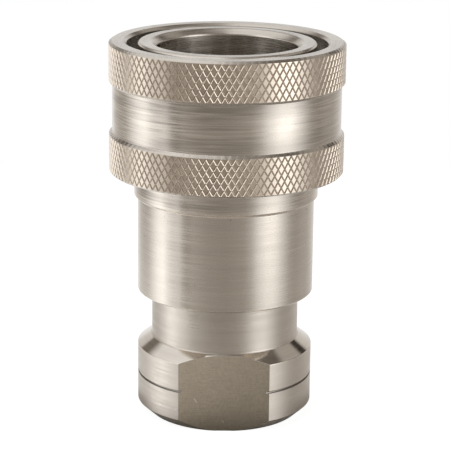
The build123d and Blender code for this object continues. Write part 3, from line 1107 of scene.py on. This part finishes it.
def floor_material():
    """A pale floor. The camera sees it as the background's white, apart from the object's shadow; all
    other rays see it painted dark, as a painted shadow.
    """
    material, tree = empty_material("pale_floor")
    # Painted shadow: the floor is dark to all rays but the camera's
    mirrored_shade = put(tree, "ShaderNodeBsdfDiffuse", {"Color": FLOOR_MIRRORED_SHADE})
    faint = put(tree, "ShaderNodeBsdfDiffuse", {"Color": FLOOR_SEEN})
    glow = put(tree, "ShaderNodeEmission", {"Color": WHITE, "Strength": FLOOR_GLOW})
    lit = put(tree, "ShaderNodeAddShader", {0: faint.outputs[0], 1: glow.outputs[0]})
    clear = put(tree, "ShaderNodeBsdfTransparent")
    ray = put(tree, "ShaderNodeLightPath").outputs
    seen = put(
        tree,
        "ShaderNodeMixShader",
        {0: ray["Is Camera Ray"], 1: mirrored_shade.outputs[0], 2: lit.outputs[0]},
    )
    out = put(tree, "ShaderNodeVectorMath", {0: object_place(tree)}, operation="LENGTH")
    edge = (WRENCH_R + MIRROR_FLOOR, WRENCH_R + 2 * MIRROR_FLOOR)
    far = spread(tree, out.outputs["Value"], 0, 1, edge)
    away = calculated(tree, "MULTIPLY", far, ray["Is Glossy Ray"])
    ends = put(tree, "ShaderNodeMixShader", {0: away, 1: seen.outputs[0], 2: clear.outputs[0]})
    put(tree, "ShaderNodeOutputMaterial", {0: ends.outputs[0]})
    return material


# Light of the walls: degrees round the object from the camera's side, to its right, and a level
RIGHT_WINDOW = ((24, 0.44), (34, 0.78), (43, 1.56), (55, 2.2), (66, 2.15), (77, 1.35), (85, 0.86))
WALL_LIGHT = (
    (-180, 0.98), (-160, 0.97), (-147, 0.68), (-132, 0.48), (-121, 0.46), (-112, 0.75),
    (-104, 1.12), (-97, 1.46), (-88, 1.56), (-80, 1.0), (-72, 0.86), (-62, 0.88),
    (-56, 0.36), (-49, 0.3), (-44, 0.43), (-35, 0.39), (-22, 0.33), (0, 0.35), (14, 0.4),
    *RIGHT_WINDOW,
    (93, 0.46), (103, 0.37), (116, 0.47), (132, 0.52), (150, 0.74), (180, 0.98),
)
# The walls low down: brighter than above on the left, and without the window on the right
LOW_WALL_LIGHT = (
    (-180, 1.0), (-150, 1.05), (-135, 1.12), (-120, 1.22), (-106, 1.5), (-89, 1.9),
    (-75, 1.1), (-62, 0.9), (-54, 0.66), (-40, 0.6), (-20, 0.5), (0, 0.4), (24, 0.42),
    (36, 0.38), (50, 0.32), (67, 0.32), (84, 0.4), (99, 0.56), (139, 0.64), (160, 0.75), (180, 1.0),
)
# The walls high up: brighter than below on the left, as the knurl's grooves show
HIGH_WALL_LIGHT = (
    (-180, 0.98), (-130, 0.6), (-112, 0.9), (-95, 1.6), (-60, 1.75), (-48, 1.1),
    (-36, 0.55), (-20, 0.33), (0, 0.35),
    *RIGHT_WINDOW,
    (103, 0.4), (150, 0.74), (180, 0.98),
)
# Light from above: height of a direction from 0 at the walls to 1 straight up, and a level
LEFT_SKY = ((0.3, 0.9), (0.35, 0.22), (0.5, 0.22), (0.62, 1.0), (0.95, 1.1))
RIGHT_SKY = (
    (0.36, 0.5), (0.39, 0.05), (0.48, 0.05), (0.53, 0.48), (0.74, 0.5), (0.79, 0.16),
    (0.92, 0.2), (1.0, 0.7),
)
# Light from below: height of a direction from straight down up to the walls, and a level
GROUND = ((0.0, 0.7), (0.2, 0.8))
# Heights of a direction, from -1 straight down to 1 straight up, where one light turns into the next
GROUND_EDGE = (-0.85, -0.7)
LOW_WALL_EDGE = (-0.335, -0.27)
HIGH_WALL_EDGE = (0.02, 0.14)
SKY_EDGE_BEHIND = (0.3, 0.37)
SKY_EDGE_BEFORE = (0.72, 0.84)
# The same for a direction's way back from the camera, and to its right
BEHIND_EDGE = (-0.2, 0.1)
RIGHT_EDGE = (-0.06, 0.06)
# Colour of the dimmest light
DIM_TINT = (1.0, 0.86, 0.72)


def light_ramp(tree, value, stops, strongest):
    """A ramp over levels from 0 to strongest, the darker the browner."""
    made = put(tree, "ShaderNodeValToRGB", {"Fac": value})
    marks = made.color_ramp.elements
    while len(marks) < len(stops):
        marks.new(0.5)
    for mark, (position, level) in zip(marks, stops):
        mark.position = position
        mark.color = warm(level, strongest)
    return made.outputs[0]


def warm(level, strongest):
    """A light's colour at that level. Dim ones are a little brown."""
    tint = (part + (1 - part) * min(level, 1.0) for part in DIM_TINT)
    return tuple(level * part / strongest for part in tint) + (1.0,)


def studio_world(strength):
    """White to the camera. All else sees bright walls at the sides, dim ones before it, and a sky."""
    world = bpy.data.worlds.new("studio")
    world.use_nodes = True
    tree = world.node_tree
    tree.nodes.clear()
    way = put(tree, "ShaderNodeTexCoord").outputs["Generated"]
    parts = put(tree, "ShaderNodeSeparateXYZ", {0: way}).outputs
    right, back, up = parts["X"], parts["Y"], parts["Z"]
    forward = calculated(tree, "MULTIPLY", back, -1.0)
    bearing = spread(tree, calculated(tree, "ARCTAN2", right, forward), 0, 1, (-math.pi, math.pi))
    strongest = max(level for _, level in WALL_LIGHT)
    walls, low_walls, high_walls = (
        light_ramp(tree, bearing, [(turn / 360 + 0.5, level) for turn, level in light], strongest)
        for light in (WALL_LIGHT, LOW_WALL_LIGHT, HIGH_WALL_LIGHT)
    )
    left_sky = light_ramp(tree, up, LEFT_SKY, strongest)
    right_sky = light_ramp(tree, up, RIGHT_SKY, strongest)
    ground = light_ramp(tree, spread(tree, up, 0, 1, (-1, 0)), GROUND, strongest)
    sky = mixed(tree, spread(tree, right, 0, 1, RIGHT_EDGE), left_sky, right_sky)
    inputs = {
        "Factor": spread(tree, back, 0, 1, BEHIND_EDGE),
        "A": spread(tree, up, 0, 1, SKY_EDGE_BEFORE),
        "B": spread(tree, up, 0, 1, SKY_EDGE_BEHIND),
    }
    sky_share = put(tree, "ShaderNodeMix", inputs).outputs["Result"]
    around = mixed(tree, spread(tree, up, 0, 1, HIGH_WALL_EDGE), walls, high_walls)
    around = mixed(tree, sky_share, around, sky)
    around = mixed(tree, spread(tree, up, 1, 0, LOW_WALL_EDGE), around, low_walls)
    around = mixed(tree, spread(tree, up, 1, 0, GROUND_EDGE), around, ground)
    studio = put(tree, "ShaderNodeBackground", {"Color": around, "Strength": strongest * strength})
    white = put(tree, "ShaderNodeBackground", {"Color": WHITE, "Strength": 1.0})
    ray = put(tree, "ShaderNodeLightPath").outputs
    straight = calculated(tree, "MAXIMUM", ray["Is Camera Ray"], ray["Is Transmission Ray"])
    seen = put(tree, "ShaderNodeMixShader", {0: straight, 1: studio.outputs[0], 2: white.outputs[0]})
    put(tree, "ShaderNodeOutputWorld", {0: seen.outputs[0]})
    return world


def add_camera(scene, settings):
    """The camera at the photograph's viewing angle."""
    data = bpy.data.cameras.new("camera")
    data.sensor_width = SENSOR_WIDTH
    data.lens = settings.lens
    camera = placed("camera", data)
    camera.location = settings.camera_place
    tilt = Euler((math.pi / 2 - settings.camera_pitch, 0, 0)).to_matrix()
    lean = Matrix.Rotation(settings.camera_roll, 3, "Z")
    camera.rotation_euler = (tilt @ lean).to_euler()
    scene.camera = camera


def add_floor(radius):
    """A round floor just under the object."""
    mesh = bmesh.new()
    bmesh.ops.create_circle(mesh, cap_ends=True, radius=radius, segments=FLOOR_STEPS)
    plate = mesh_data("floor", mesh)
    plate.materials.append(floor_material())
    floor = placed("floor", plate)
    floor.location.z = -FLOOR_GAP


class COUPLER_OT_studio(bpy.types.Operator):
    """Camera, pale floor and soft light"""

    bl_idname = "coupler.studio"
    bl_label = "Studio"

    def execute(self, context):
        scene = context.scene
        settings = scene.coupler_studio
        add_camera(scene, settings)
        add_floor(settings.floor_radius)
        scene.world = studio_world(settings.light_level)
        scene.view_settings.view_transform = "Standard"
        return {"FINISHED"}


class COUPLER_PT_panel(bpy.types.Panel):
    """Pieces of the coupler and their settings"""

    bl_idname = "COUPLER_PT_panel"
    bl_label = "Quick coupler"
    bl_space_type = "VIEW_3D"
    bl_region_type = "UI"
    bl_category = "Coupler"

    def draw(self, context):
        for name, group in GROUPS.items():
            box = self.layout.box()
            for setting in group.__annotations__:
                box.prop(getattr(context.scene, name), setting)
        for operator in OPERATORS:
            self.layout.operator(operator.bl_idname)


GROUPS = {
    "coupler_knurl": CouplerKnurl,
    "coupler_edges": CouplerEdges,
    "coupler_colours": CouplerColours,
    "coupler_studio": CouplerStudio,
}
OPERATORS = (
    COUPLER_OT_studio,
    COUPLER_OT_sleeve,
    COUPLER_OT_body,
    COUPLER_OT_adapter,
    COUPLER_OT_springs,
    COUPLER_OT_seals,
    COUPLER_OT_valve,
)


def register():
    """Makes the settings, the operators and the panel known."""
    for name, group in GROUPS.items():
        bpy.utils.register_class(group)
        setattr(bpy.types.Scene, name, bpy.props.PointerProperty(type=group))
    for operator in OPERATORS:
        bpy.utils.register_class(operator)
    bpy.utils.register_class(COUPLER_PT_panel)


def unregister():
    """Takes the panel, the operators and the settings away again."""
    bpy.utils.unregister_class(COUPLER_PT_panel)
    for operator in reversed(OPERATORS):
        bpy.utils.unregister_class(operator)
    for name, group in GROUPS.items():
        delattr(bpy.types.Scene, name)
        bpy.utils.unregister_class(group)


def main():
    """Makes every piece."""
    register()
    bpy.ops.coupler.studio()
    bpy.ops.coupler.sleeve()
    bpy.ops.coupler.body()
    bpy.ops.coupler.adapter()
    bpy.ops.coupler.springs()
    bpy.ops.coupler.seals()
    bpy.ops.coupler.valve()


if __name__ == "__main__":
    main()
